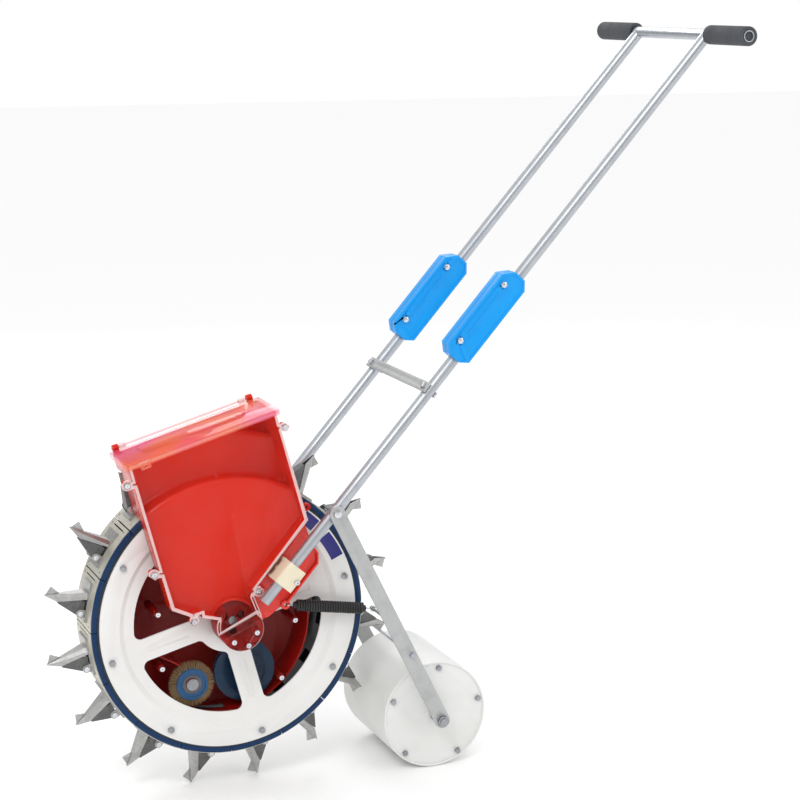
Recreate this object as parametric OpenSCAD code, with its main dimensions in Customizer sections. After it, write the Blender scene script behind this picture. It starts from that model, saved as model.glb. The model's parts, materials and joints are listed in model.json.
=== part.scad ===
// Hand-push rolling garden spreader (duckbill seeder / fertiliser spreader).
// Millimetres. X points to the rear (handle), Y to the far side, Z up.
// The floor is Z = 0. The machine rolls towards -X.

/* [Wheel] */
// Radius from the wheel axis to the bill tips
tip_r = 300; // [270:1:340]
// Radius of the inside of the tread plates
rim_r = 231; // [200:1:245]
// Width of the wheel between the ring faces
wheel_w = 99; // [84:1:120]
// Radius of the white wheel discs
disc_r = 218.7; // [190:0.1:219]
// Sheet thickness of the wheel discs
disc_t = 3; // [2:0.5:4]
// Radius of the disc bolt circle
disc_bolt_r = 205.9; // [200:0.1:208]
// Thickness of the tread plates
tread_t = 1.6; // [1:0.1:3]
// Opening of the window cut-outs, outer radius
window_r = 161; // [120:1:166]
// Width of a wheel spoke
spoke_w = 38; // [26:1:50]
// Offset of the wheel's middle plane from the frame's middle plane
wheel_y = -10; // [-14:1:-6]

/* [Bills] */
// Half width of a bill at its base
bill_w = 20; // [14:0.5:21]
// Sheet thickness of the bills
bill_t = 1.4; // [1:0.1:1.8]
// Diameter of the jaw pivot bolts
jaw_pin_d = 5; // [4:0.5:6]

/* [Hub and metering] */
// Diameter of the main axle
axle_d = 16; // [12:1:20]
// Outer diameter of the hub neck where the near disc turns on it
neck_d = 64; // [56:1:66]
// Radius of the metering wheel
meter_r = 52; // [44:1:52]
// Radius of the brush wheel over its bristles
brush_r = 39; // [32:1:39]
// Inner radius of the metering housing
pan_r = 152; // [151:0.5:153]

/* [Hopper] */
// Wall of the hopper shell
wall = 2.5; // [2:0.5:4]
// Thickness of the clear cover
cover_t = 3; // [2:0.5:4]
// Height of the hopper's top left corner above the wheel axis
hopper_h = 279.3; // [270:1:330]
// Diameter of the cover screws
screw_d = 5; // [4:0.5:5.5]

/* [Handle] */
// Outer diameter of the frame tubes
tube_d = 19; // [16:0.5:25]
// Wall of the frame tubes
tube_wall = 1.5; // [1:0.25:2.5]
// Distance between the middles of the two side tubes
tube_gap = 236; // [220:1:280]
// Length of the side tubes from the lower end to the cross tube
handle_len = 1198; // [950:1:1440]
// Angle of the side tubes above level
handle_angle = 48.6; // [45:0.1:52]
// Length of the cross tube
bar_len = 502; // [440:1:600]
// Outer diameter of the foam grips
grip_d = 32; // [28:1:40]
// Length of the foam grips
grip_len = 122; // [80:1:122]
// Length of the splice connectors
conn_len = 174; // [140:1:210]

/* [Press roller] */
// Radius of the press roller
roller_r = 93; // [80:1:94]
// Length of the press roller
roller_len = 196; // [150:1:210]
// Diameter of the roller axle
roller_axle_d = 12; // [10:1:16]
// Width of the flat press arms
arm_w = 26; // [22:1:32]
// Thickness of the flat press arms
arm_t = 4; // [3:0.5:6]
// Diameter of the arm pivot bolts
pivot_d = 8; // [6:0.5:10]
// Outer diameter of the press spring's sleeve
spring_d = 20; // [16:1:22]

/* [Hidden] */
run = 0.05;          // radial clearance of a running fit
seat = 0.01;         // clearance round a part that is clamped in its seat
n_bill = 16;
step = 360 / n_bill;
half = step / 2;
th0 = 146.25;        // angle of the first bill
tip_e = 0.8;         // half thickness of a bill's tip
axis_h = tip_r * cos(half) + tip_e * sin(half);
u = [cos(handle_angle), sin(handle_angle)];
foot = [40.4, axis_h + 38.3];
bar_x = foot[0] + handle_len * u[0];
bar_z = foot[1] + handle_len * u[1];
XO = (bar_x + grip_d / 2 - axis_h) / 2;
ty = tube_gap / 2;
tr = tube_d / 2;
hw = wheel_w / 2;

// wheel cross section, y measured from the wheel's middle plane
disc_out = hw + 4;               // outer face of the disc flange
disc_in = disc_out - disc_t - 0.5;
web_out = disc_out - 6;          // outer face of the dished web
web_in = web_out - disc_t;
core_out = disc_in;              // outer face of the rim core
core_in = core_out - 10;
drum_r = 176;
head_h = 4;
ring_in_r = disc_r + 3.3;

// hopper planes, y in the frame
cover_y = wheel_y - disc_out - 41.5;   // front face of the clear cover
shell_y = cover_y + cover_t;           // front edge of the shell
back0 = wheel_y - disc_out - head_h - 2.5;   // back face in front of the disc
back1 = wheel_y - bill_w - 8;                // back face in front of the bills
back2 = wheel_y + 4;                         // back face above the bills
outlet_y = cover_y - 26;
neck_r = neck_d / 2;
outlet_r = neck_r + 3.5;
neck_in = 26;
step_r1 = rim_r + tread_t + 3.4;
step_r2 = tip_r + 6;

// hopper outline, from the wheel axis, clockwise from the near left corner
hop_top = hopper_h;
HP = [[-175, hop_top], [69, hop_top + 70.4], [122, 164.6], [28, 56],
      [-75, 22], [-110, 38]];
lid_a = atan(70.4 / 244);
lid_l = 244 / cos(lid_a);

// metering train
met = [30, -99];
bru = [-61, -112];
met_d = norm(met);
z_ring = 108;
z_pin = 26;
gmod = 2 * met_d / (z_ring - z_pin);
ring_pr = gmod * z_ring / 2;
pin_pr = gmod * z_pin / 2;
pan_c = [-12, -14];
pan_y0 = -(web_in - 6.5);
pan_y1 = 30;
pan_w = 2.5;
stud_r = 10;
boss = [[117, -20.5], [92, -118], [-113, -77], [-118, 16]];
mesh_a = atan2(met[1], met[0]);   // line from the wheel axis to the pinion
gear_y0 = 36;
gear_y1 = 41.5;

// frame stations along the side tubes
s_clamp = 38;
clamp_l = 40;
s_pivot = 185.5;
s_bar = 437.5;
s_conn = 503;
bar_flat = [18, 4];
conn_t = 15;
plate_y = abs(cover_y) - 31;      // inner face of the bracket plates from the middle
plate_t = 4;
clamp_y = ty + tr + 9.5;

// press arms
pivot = [foot[0] + s_pivot * u[0], foot[1] + s_pivot * u[1]];
arm_y = ty + tr + 0.5;
roll = [foot[0] + 309.6, roller_r];
arm_dx = roll[0] - pivot[0];
arm_dz = roll[1] - pivot[1];
arm_len = norm([arm_dx, arm_dz]);
arm_a = atan2(arm_dz, arm_dx);
rod_s = 288;
rod_off = 4.5;
rod_d = 6;
post_s = 200;
post_off = -9;
post_d = 5;
spring_y = back0 - 12;
spring_a = [89, axis_h + 19];

$fn = 64;

// ---- helpers ----------------------------------------------------------
// a cylinder along Y
module ycyl(r, y0, y1, fn = 64) {
  translate([0, y0, 0]) rotate([-90, 0, 0]) cylinder(r = r, h = y1 - y0, $fn = fn);
}
module ytube(ro, ri, y0, y1) {
  difference() { ycyl(ro, y0, y1); ycyl(ri, y0 - 1, y1 + 1); }
}
// a flat outline in X and Z given a thickness along Y
module slab(y0, y1) {
  translate([0, y1, 0]) rotate([90, 0, 0]) linear_extrude(height = y1 - y0) children();
}
// the wheel's own frame, y from the wheel's middle plane
module at_wheel() { translate([-XO, wheel_y, axis_h]) children(); }
// the wheel axis, y from the frame's middle plane
module at_axis() { translate([-XO, 0, axis_h]) children(); }
// turned by a wheel angle: local X is outward, local Z runs forward round the rim
module spoke(a) { rotate([0, -a, 0]) children(); }
// along a side tube: local X up the tube, local Z off it to the front
module on_tube(s) {
  translate([foot[0] - XO + s * u[0], 0, foot[1] + s * u[1]]) rotate([0, -handle_angle, 0]) children();
}
// along a press arm from its pivot
module on_arm(s) {
  translate([pivot[0] - XO, 0, pivot[1]]) rotate([0, -arm_a, 0]) translate([s, 0, 0]) children();
}
// edges of a convex outline moved inward by d
function nrm(p, q) = let(v = q - p, l = norm(v)) [v[1] / l, -v[0] / l];
function meet(p, a, q, b) = let(d = a[0] * b[1] - a[1] * b[0],
    ca = a * p, cb = b * q) [(ca * b[1] - cb * a[1]) / d, (a[0] * cb - b[0] * ca) / d];
function inset(P, D) = let(n = len(P)) [for (i = [0:n - 1])
  let(h = (i + n - 1) % n, j = (i + 1) % n, a = nrm(P[h], P[i]), b = nrm(P[i], P[j]))
    meet(P[h] + a * D[h], a, P[i] + b * D[i], b)];

// ---- hopper -----------------------------------------------------------
module hop_outline(d = 0, top = 0) {
  polygon(inset(HP, [top, d, d, d, d, d]));
  throat(d);
}
// the funnel between the hopper and the outlet
module throat(d = 0) {
  polygon([[28 - d, 70], [28 - d, 46 - d / 2], [40 - d, 14], [36 - d, 0], [-30 + d, 0],
           [-28 + d, 12 + d / 2], [-60, 20 + d * 1.6], [-60, 70]]);
}
module beyond(r) { difference() { square(1200, center = true); circle(r = r, $fn = 180); } }
module hop_body(d, y0, e) {
  top = d > 0 ? -6 : 0;
  slab(y0, back0 - e) hop_outline(d, top);
  slab(y0, back1 - e) intersection() { hop_outline(d, top); beyond(step_r1 + e); }
  slab(y0, back2 - e) intersection() { hop_outline(d, top); beyond(step_r2 + e); }
}
cover_pts = [[-177.7, hop_top - 30], [-137.8, 100.2], [-73.7, 15], [36.4, 53.5], [83.9, hop_top + 43]];
module on_lid() { translate([-175, 0, hop_top]) rotate([0, -lid_a, 0]) children(); }
lid_axis = [back2 + 11, 5];
module hopper_shell() {
  color([0.85, 0.2, 0.12]) at_axis() difference() {
    union() {
      hop_body(0, shell_y, 0);
      for (p = cover_pts) translate([p[0], 0, p[1]]) ycyl(5.5, shell_y, shell_y + 14, 32);
      // webs that join the screw bosses to the walls
      for (p = [cover_pts[0], cover_pts[1]]) translate([p[0], shell_y, p[1] - 3]) cube([13, 14, 6]);
      translate([cover_pts[2][0] - 3, shell_y, cover_pts[2][1]]) cube([6, 14, 12]);
      translate([cover_pts[3][0] - 12, shell_y, cover_pts[3][1] - 3]) cube([12, 14, 6]);
      translate([cover_pts[4][0] - 10, shell_y, cover_pts[4][1] - 3]) cube([10, 14, 6]);
      // side lug above the bracket
      translate([108, back0 - 12, 176]) cube([20, 8, 9]);
      translate([128, 0, 180.5]) ycyl(6.5, back0 - 12, back0 - 4, 32);
      // hinge ears
      on_lid() for (x = [4, lid_l - 14]) translate([x, 0, 0]) {
        translate([0, lid_axis[0], lid_axis[1]]) rotate([0, 90, 0]) cylinder(r = 6, h = 10, $fn = 32);
        translate([0, back2 - 1, -16]) cube([10, 11, 15]);
        translate([0, lid_axis[0] - 3, -4]) cube([10, 9, 9]);
      }
    }
    difference() { hop_body(wall, shell_y - 1, wall); ycyl(neck_r + 8, back0 - wall - 8, 0); }
    ycyl(outlet_r, shell_y - 1, 0);
    for (p = cover_pts) translate([p[0], 0, p[1]]) ycyl(screw_d / 2, shell_y - 1, shell_y + 12, 32);
    translate([128, 0, 180.5]) ycyl(3, back0 - 13, back0 - 3, 32);
    on_lid() translate([0, lid_axis[0], lid_axis[1]]) rotate([0, 90, 0]) cylinder(r = 2, h = lid_l + 10, $fn = 32);
  }
}
// line across the outlet where the clear cover steps forward
cut_a = 24.6;
module below_cut(d = 0) { rotate(cut_a) translate([-60, -120 + 1.5 - d]) square([120, 120]); }
module hopper_cover() {
  color([0.95, 0.8, 0.78, 0.35]) at_axis() difference() {
    union() {
      slab(cover_y, shell_y) union() {
        hop_outline(0, 0.5);
        for (p = cover_pts) translate(p) circle(r = 6.5, $fn = 32);
        for (p = [cover_pts[0], cover_pts[1]]) translate([p[0], p[1] - 6]) square([15, 12]);
        translate([cover_pts[2][0] - 6, cover_pts[2][1]]) square([12, 14]);
        for (p = [cover_pts[3], cover_pts[4]]) translate([p[0] - 15, p[1] - 6]) square([15, 12]);
        difference() { circle(r = outlet_r, $fn = 64); below_cut(); }
      }
      slab(outlet_y, outlet_y + cover_t) intersection() { circle(r = outlet_r, $fn = 64); below_cut(); }
      slab(outlet_y, shell_y) intersection() { circle(r = outlet_r, $fn = 64);
        rotate(cut_a) translate([-60, 1.5 - cover_t]) square([120, cover_t]); }
    }
    for (p = cover_pts) translate([p[0], 0, p[1]]) ycyl(screw_d / 2, cover_y - 1, shell_y + 1, 32);
    for (p = out_pts) translate([p[0], 0, p[1]]) ycyl(screw_d / 2, outlet_y - 1, outlet_y + cover_t + 1, 32);
    // the lower part of the flat sheet gives way to the outlet
    slab(cover_y - 0.01, shell_y + 1) intersection() { circle(r = outlet_r, $fn = 64); below_cut(cover_t); }
  }
}
out_pts = [[-15.3, -18.5], [23.4, -2.4 - 4], [8.9, -26.6]];
module hub_neck() {
  color([0.8, 0.2, 0.13]) at_axis() difference() {
    union() {
      difference() {
        union() {
          ycyl(outlet_r, outlet_y + cover_t, back0 - 2);
          ycyl(neck_r, back0 - 2.01, wheel_y + pan_y0 + 5);
        }
        // the front stands forward only below the step in the cover
        slab(outlet_y, shell_y) rotate(cut_a) translate([-60, 1.5 - cover_t]) square([120, 120]);
        ycyl(neck_in, outlet_y, back0 - 8);
        ycyl(neck_in, back0 - 2, 0);
        // way in from the hopper
        translate([-20, shell_y - 1, 6]) cube([46, back0 - wall - shell_y + 1, 60]);
        ycyl(axle_d / 2, back0 - 9, back0);
        for (a = [30, 150, 270]) spoke(a) translate([17, 0, 0]) ycyl(6.5, back0 - 9, back0, 32);
      }
      for (p = out_pts) translate([p[0], 0, p[1]]) ycyl(5, outlet_y + cover_t, outlet_y + 16, 32);
    }
    for (p = out_pts) translate([p[0], 0, p[1]]) ycyl(screw_d / 2, outlet_y, outlet_y + 13, 32);
  }
}
module screw(len) {
  ycyl(screw_d / 2, -0.01, len, 32);
  difference() { ycyl(screw_d * 0.85, -2.8, 0, 32); rotate([0, 20, 0]) ycyl(1.5, -3.5, -1.2, 6); }
}
module cover_screws() {
  color([0.75, 0.77, 0.8]) {
    at_axis() for (p = cover_pts) translate([p[0], cover_y, p[1]]) screw(cover_t + 10);
    at_axis() for (p = out_pts) translate([p[0], outlet_y, p[1]]) screw(cover_t + 9);
    at_wheel() for (p = boss) translate([p[0], pan_y0 - 0.01, p[1]]) screw(10);
  }
}
module main_axle() {
  color([0.7, 0.72, 0.75]) at_axis() {
    ycyl(axle_d / 2, back0 - 8, plate_y + plate_t + 7);
    rotate([0, 10, 0]) ycyl(axle_d * 0.8, plate_y + plate_t, plate_y + plate_t + 6, 6);
  }
}

// ---- metering housing inside the wheel --------------------------------
module metering_housing() {
  color([0.5, 0.07, 0.06]) at_wheel() difference() {
    union() {
      translate([pan_c[0], 0, pan_c[1]]) difference() {
        ycyl(pan_r + pan_w, pan_y0 + pan_w + 0.5, pan_y1, 128);
        ycyl(pan_r, pan_y0 - 1, pan_y1 - pan_w, 128);
      }
      for (p = boss) translate([p[0], 0, p[1]]) ycyl(6, pan_y0 + 2.5, pan_y1, 32);
      translate([bru[0], 0, bru[1]]) { ycyl(16, -14, pan_y1); ycyl(stud_r, pan_y0 + 2.5, pan_y1); }
      translate([met[0], 0, met[1]]) ycyl(11, 8, pan_y1);
      ycyl(14, -20, pan_y1);
      // seed guide under the neck
      rotate([0, 62, 0]) translate([30, -17, 20]) cube([45, pan_y1 + 16, 2.5]);
      translate([-116, -33, -58]) rotate([0, 30, 0]) cube([40, pan_y1 + 32, 2.5]);
    }
    ycyl(axle_d / 2, -60, 60);
    translate([met[0], 0, met[1]]) ycyl(5 + run, -60, 60, 32);
    for (p = boss) translate([p[0], 0, p[1]]) ycyl(screw_d / 2, pan_y0 - 2, pan_y0 + 12, 32);
    // seed exit low in the wall
    spoke(262) translate([120, -14, -26]) cube([60, 28, 52]);
  }
}
module metering_cover() {
  color([0.5, 0.25, 0.22, 0.35]) at_wheel() difference() {
    slab(pan_y0, pan_y0 + 2.5) polygon([[119, 34], [124, 22], [124, -50], [97, -80], [104, -118],
      [90, -126], [-40, -148], [-104, -96], [-122, -78], [-126, 20], [-116, 34]]);
    ycyl(neck_r, -60, 0);
    translate([met[0], 0, met[1]]) ycyl(5 + run, -60, 0, 32);
    for (p = boss) translate([p[0], 0, p[1]]) ycyl(screw_d / 2, -60, 0, 32);
  }
}
module metering_wheel() {
  color([0.1, 0.28, 0.36]) at_wheel() translate([met[0], 0, met[1]]) difference() {
    union() {
      ytube(meter_r, 5, -31, -19);
      ycyl(12, -33, -30.9, 32);
    }
    ycyl(5, -60, 0, 32);
    for (i = [0:23]) spoke(i * 15) translate([meter_r + 1, -25, 0]) rotate([0, 90, 0]) translate([0, 0, -6]) cylinder(r = 4.2, h = 7, $fn = 24);
    difference() { ycyl(36, -32, -28); ycyl(12, -33, -20, 32); }
  }
}
module metering_shaft() {
  color([0.6, 0.62, 0.65]) at_wheel() translate([met[0], 0, met[1]]) {
    ycyl(5, pan_y0, gear_y1 - 0.5, 32);
    difference() {
      // pinion teeth
      slab(gear_y0, gear_y1) union() {
        circle(r = pin_pr - gmod, $fn = 96);
        for (i = [0:z_pin - 1]) rotate(mesh_a + i * 360 / z_pin)
          polygon([[0, -gmod * 0.8], [pin_pr, -gmod * 0.6], [pin_pr + gmod * 0.75, -gmod * 0.32],
                   [pin_pr + gmod * 0.75, gmod * 0.32], [pin_pr, gmod * 0.6], [0, gmod * 0.8]]);
      }
      for (i = [0:5]) spoke(i * 60) translate([20, 0, 0]) ycyl(6, gear_y0 - 1, gear_y1 + 1, 32);
    }
  }
}
module ring_gear() {
  color([0.15, 0.15, 0.16]) at_wheel() {
    difference() {
      slab(gear_y0, web_in) circle(r = ring_pr + gmod * 1.2 + 7, $fn = 180);
      slab(gear_y0 - 1, web_in + 1) difference() {
        circle(r = ring_pr + gmod * 1.15, $fn = 180);
        for (i = [0:z_ring - 1]) rotate(mesh_a + (i + 0.5) * 360 / z_ring)
          polygon([[ring_pr - gmod * 0.75, -gmod * 0.32], [ring_pr, -gmod * 0.6], [ring_pr + gmod * 1.4, -gmod * 0.95],
                   [ring_pr + gmod * 1.4, gmod * 0.95], [ring_pr, gmod * 0.6], [ring_pr - gmod * 0.75, gmod * 0.32]]);
      }
    }
  }
}
module brush_wheel() {
  color([0.4, 0.5, 0.55]) at_wheel() translate([bru[0], 0, bru[1]]) difference() {
    union() {
      ytube(27, stud_r + run, -34, -18);
      ytube(brush_r, 26.5, -32, -20);
    }
    for (i = [0:29]) spoke(i * 12) translate([28.5, -40, -0.7]) cube([20, 40, 1.4]);
  }
}

// ---- wheel ------------------------------------------------------------
module disc_shape() {
  // half section: [radius, height above the middle plane]
  difference() {
    rotate([-90, 0, 0]) rotate_extrude($fn = 180) polygon([
      [12, web_in], [drum_r + 3.5, web_in], [drum_r + 11.5, disc_in], [disc_r, disc_in],
      [disc_r, disc_out], [drum_r + 10, disc_out], [drum_r + 2, web_out], [12, web_out]]);
    for (k = [0:3]) window(15 + 90 * k);
    for (k = [0:7]) spoke(149.5 + 45 * k) translate([disc_bolt_r, 0, 0]) ycyl(3.2, 0, 90, 32);
    // long grooves pressed in the spokes
    for (k = [0:3]) spoke(15 + 90 * k) groove();
  }
}
module groove() {
  translate([78, web_out - 1.2, -5]) cube([62, 3, 10]);
  translate([78, 0, 0]) ycyl(5, web_out - 1.2, web_out + 2, 32);
  translate([140, 0, 0]) ycyl(5, web_out - 1.2, web_out + 2, 32);
}
// one window between the spokes at angles a and a + 90, corners rounded
win_c = 11;
module window(a) {
  ri = 58;
  hs = spoke_w / 2 + win_c;
  ro = window_r - win_c;
  rq = ri + win_c;
  b0 = asin(hs / ro);
  b1 = asin(hs / rq);
  slab(0, 90) rotate(a) union() {
    intersection() {
      circle(r = window_r, $fn = 180);
      polygon([[hs, hs], [400, hs], [400, 400], [hs, 400]]);
      union() { difference() { circle(r = window_r, $fn = 180); circle(r = rq, $fn = 120); } }
      polygon([[0, 0], [300 * cos(b0), 300 * sin(b0)], [300, 300], [300 * sin(b0), 300 * cos(b0)]]);
    }
    difference() {
      intersection() {
        circle(r = ro, $fn = 180);
        polygon([[hs - win_c, hs - win_c], [400, hs - win_c], [400, 400], [hs - win_c, 400]]);
      }
      circle(r = rq, $fn = 120);
    }
    intersection() {
      difference() { circle(r = ro, $fn = 180); circle(r = ri, $fn = 120); }
      polygon([[0, 0], [300 * cos(b1), 300 * sin(b1)], [300, 300], [300 * sin(b1), 300 * cos(b1)]]);
    }
    for (s = [0, 1]) mirror([s, -s]) {
      translate([ro * cos(b0), ro * sin(b0)]) circle(r = win_c, $fn = 32);
      translate([rq * cos(b1), rq * sin(b1)]) circle(r = win_c, $fn = 32);
    }
  }
}
module disc_near() {
  color([0.93, 0.93, 0.92]) at_wheel() difference() {
    union() { mirror([0, 1, 0]) disc_shape(); ytube(neck_r + 10, neck_r + run, -web_out, -web_in + 3.5); }
    ycyl(neck_r + run, -90, 0);
  }
}
module disc_far() {
  color([0.93, 0.93, 0.92]) at_wheel() difference() {
    union() { disc_shape(); ycyl(20, web_in - 8, disc_out); }
    ycyl(axle_d / 2 + run, 0, 90);
  }
}
module port(e, y, r0, r1) { for (i = [0:n_bill - 1]) spoke(th0 + step * i) translate([r0, -y, -e]) cube([r1 - r0, 2 * y, 2 * e]); }
module rim_core() {
  color([0.12, 0.13, 0.15]) at_wheel() {
    difference() {
      union() {
        ytube(drum_r + 3, drum_r, -core_in, core_in);
        for (m = [0, 1]) mirror([0, m, 0]) {
          ytube(ring_in_r, 196, core_in, core_out);
          ytube(198, drum_r, core_in - 0.01, core_in + 3);
        }
        intersection() { port(14, 15, drum_r + 1, rim_r + 5); ycyl(rim_r, -60, 60, 180); }
      }
      port(11, 12, drum_r - 5, rim_r + 5);
      for (m = [0, 1]) mirror([0, m, 0]) for (k = [0:7]) spoke(149.5 + 45 * k)
        translate([disc_bolt_r, 0, 0]) ycyl(3, core_out - 8.5, 90, 32);
    }
  }
}
module gaps(w, r0, r1) { for (i = [0:n_bill - 1]) spoke(th0 + step * i + half) translate([r0, -80, -w / 2]) cube([r1 - r0, 160, w]); }
module rim_rings() {
  color([0.1, 0.28, 0.5]) at_wheel() difference() {
    for (m = [0, 1]) mirror([0, m, 0]) ytube(rim_r, ring_in_r, hw - 8, hw);
    gaps(0.9, 180, 260);
  }
}
module tread_plates() {
  color([0.75, 0.74, 0.7]) at_wheel() difference() {
    ytube(rim_r + tread_t, rim_r, -hw + 2.5, hw - 2.5);
    gaps(2, 180, 260);
    port(9, 11, 180, 260);
    for (i = [0:n_bill - 1]) spoke(th0 + step * i) {
      translate([200, -30, -38.5]) cube([60, 56, 2.2]);
      for (y = [-36, 36]) for (e = [-37, 37]) translate([200, y, e]) rotate([0, 90, 0]) cylinder(r = 2, h = 60, $fn = 24);
    }
  }
}

// ---- duckbills --------------------------------------------------------
base_r = rim_r + tread_t;
foot_r = base_r + 1.9;
function lerp(a, b, t) = a + (b - a) * t;
mid_r = lerp(foot_r, tip_r, 0.68);
function bill_h(r) = lerp(bill_w, 2.5, (r - foot_r) / (tip_r - foot_r));
function bill_e0(r) = lerp(-13, -tip_e, (r - foot_r) / (tip_r - foot_r));
function bill_el(r) = r < mid_r ? lerp(-3, 7.6, (r - foot_r) / (mid_r - foot_r))
                                : lerp(7.6, tip_e, (r - mid_r) / (tip_r - mid_r));
// a folded channel open towards +e; points [r, y, e]
function chan(r, e0, el, h, c, t) = let(k = h - c) [
  [r, -h, el], [r, -h, e0 + k], [r, -c, e0], [r, c, e0], [r, h, e0 + k], [r, h, el],
  [r, h - t, el], [r, h - t, e0 + k + 0.41 * t], [r, c - 0.41 * t, e0 + t],
  [r, -c + 0.41 * t, e0 + t], [r, -h + t, e0 + k + 0.41 * t], [r, -h + t, el]];
function jchan(r, et, ew, h, t) = [
  [r, h, et], [r, h, ew], [r, -h, ew], [r, -h, et],
  [r, -h + t, et], [r, -h + t, ew - t], [r, h - t, ew - t], [r, h - t, et]];
module loft(R) {
  n = len(R[0]);
  m = len(R);
  polyhedron(points = [for (q = R) each q],
    faces = concat([for (j = [0:n / 2 - 2]) [j, j + 1, n - 2 - j, n - 1 - j]],
      [for (j = [0:n / 2 - 2]) [(m - 1) * n + n - 1 - j, (m - 1) * n + n - 2 - j, (m - 1) * n + j + 1, (m - 1) * n + j]],
      [for (i = [0:m - 2]) for (j = [0:n - 1]) [i * n + j, (i + 1) * n + j, (i + 1) * n + (j + 1) % n]],
      [for (i = [0:m - 2]) for (j = [0:n - 1]) [i * n + j, (i + 1) * n + (j + 1) % n, i * n + (j + 1) % n]]));
}
function cs(r) = let(h = bill_h(r)) chan(r, bill_e0(r), bill_el(r), h, h - min(h * 0.45, (bill_el(r) - bill_e0(r)) * 0.6), bill_t);
jp = [foot_r + 7.5, 21];
jh = bill_h(jp[0]) - 0.9;
ear_y = jh + 0.5;
module bill_shell() {
  difference() {
    union() {
      loft([cs(foot_r - 0.8), cs(mid_r), chan(tip_r, -tip_e, tip_e, 2.5, 2.2, 1.2)]);
      difference() {
        translate([base_r - 4, -23, -30]) cube([foot_r - base_r + 4, 46, 64]);
        ycyl(base_r + seat, -60, 60, 180);
        translate([base_r - 6, -11, -9]) cube([20, 22, 18]);
      }
      // ears for the jaw's pivot bolt
      for (m = [0, 1]) mirror([0, m, 0]) {
        translate([foot_r - 0.5, ear_y, jp[1] - 6.5]) cube([jp[0] - foot_r + 0.5, 1.5, 13]);
        translate([jp[0], 0, jp[1]]) ycyl(6.5, ear_y, ear_y + 1.5, 32);
      }
      // small wing beside the tip
      slab(-0.75, 0.75) polygon([[tip_r - 1.5, -tip_e * 0.6], [tip_r - 8.5, -15], [tip_r - 25, -4.6], [tip_r - 22, -1.5]]);
    }
    translate([jp[0], 0, jp[1]]) ycyl(jaw_pin_d / 2, -40, 40, 32);
  }
}
module bill_shells() {
  color([0.72, 0.72, 0.72]) at_wheel() for (i = [0:n_bill - 1]) spoke(th0 + step * i) bill_shell();
}
module jaw() {
  r0 = jp[0] + 1;
  r1 = mid_r - 1.5;
  t = bill_t;
  difference() {
    union() {
      loft([jchan(r0, bill_el(r0) + 0.9, jp[1] + jaw_pin_d / 2 + 2.9, bill_h(r0) - 0.9, t),
            jchan(r1, bill_el(r1) + 0.5, bill_el(r1) + 0.5 + t + 1.2, bill_h(r1) - 0.9, t)]);
      for (m = [0, 1]) mirror([0, m, 0]) {
        slab(jh - t, jh) polygon([[foot_r + 1.6, bill_el(foot_r) + 3.9], [r0 + 2, bill_el(r0) + 1.4], [r0 + 2, jp[1] + 4], [jp[0] - 5.6, jp[1] + 2]]);
        translate([jp[0], 0, jp[1]]) ycyl(jaw_pin_d / 2 + 3.5, jh - t, jh, 32);
      }
    }
    translate([jp[0], 0, jp[1]]) ycyl(jaw_pin_d / 2 + run, -40, 40, 32);
  }
}
module jaw_at(i) { color([0.62, 0.62, 0.63]) at_wheel() spoke(th0 + step * (i - 1)) jaw(); }
module jaw_bolts() {
  color([0.8, 0.8, 0.82]) at_wheel() for (i = [0:n_bill - 1]) spoke(th0 + step * i) translate([jp[0], 0, jp[1]]) {
    ycyl(jaw_pin_d / 2, -ear_y - 1.6, ear_y + 2, 32);
    ycyl(4.2, -ear_y - 4.3, -ear_y - 1.5, 32);
    rotate([0, 12, 0]) ycyl(4.4, ear_y + 1.5, ear_y + 4.5, 6);
  }
}
module bill_springs() {
  w = 1.5;
  color([0.55, 0.56, 0.58]) at_wheel() for (i = [0:n_bill - 1]) spoke(th0 + step * i) translate([jp[0], -6, jp[1]]) rotate([-90, 0, 0])
    rotate_extrude($fn = 32) polygon(concat([[jaw_pin_d / 2, 0]], [for (k = [0:6]) [jaw_pin_d / 2 + (k % 2 == 0 ? 0.5 : 1.1), k * 2]], [[jaw_pin_d / 2, 12]]));
}
module disc_bolts() {
  color([0.78, 0.78, 0.8]) at_wheel() for (m = [0, 1]) mirror([0, m, 0]) for (k = [0:7])
    spoke(149.5 + 45 * k) translate([disc_bolt_r, 0, 0]) {
      ycyl(3, core_out - 8.5, disc_out + 0.01, 32);
      rotate([0, 12 * k, 0]) ycyl(5.6, disc_out, disc_out + head_h, 6);
    }
}

// ---- lid --------------------------------------------------------------
module lid_hinge_pin() {
  color([0.75, 0.76, 0.78]) at_axis() on_lid() translate([2.5, lid_axis[0], lid_axis[1]]) rotate([0, 90, 0]) cylinder(r = 2, h = lid_l - 5, $fn = 32);
}
module lid() {
  y0 = cover_y - 4.5;
  y1 = lid_axis[0] - 8.5;
  color([1, 0.75, 0.75, 0.4]) at_axis() on_lid() difference() {
    union() {
      difference() {
        translate([-5, y0, -6]) cube([lid_l + 10, y1 - y0, 9.3]);
        translate([-2.5, y0 + 2.5, -7]) cube([lid_l + 5, y1 - y0, 7.4]);
      }
      // raised field with cut corners
      translate([0, 0, 3.2]) linear_extrude(height = 4.8) field(0);
      for (x = [16, lid_l - 28]) translate([x, 0, 0]) {
        translate([0, lid_axis[0], lid_axis[1]]) rotate([0, 90, 0]) cylinder(r = 5, h = 11, $fn = 32);
        translate([0, y1 - 2, 0.4]) cube([11, lid_axis[0] - y1 + 2, 3]);
      }
      // latch tongue at the near edge
      translate([18, y0 - 2.5, -11]) cube([16, 2.6, 12]);
    }
    translate([0, 0, -0.5]) linear_extrude(height = 6.3) field(3);
    translate([0, lid_axis[0], lid_axis[1]]) rotate([0, 90, 0]) cylinder(r = 2 + run, h = lid_l, $fn = 32);
    translate([26, 0, -7]) ycyl(2.5, y0 - 5, y0 + 0.5, 32);
  }
}
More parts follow.
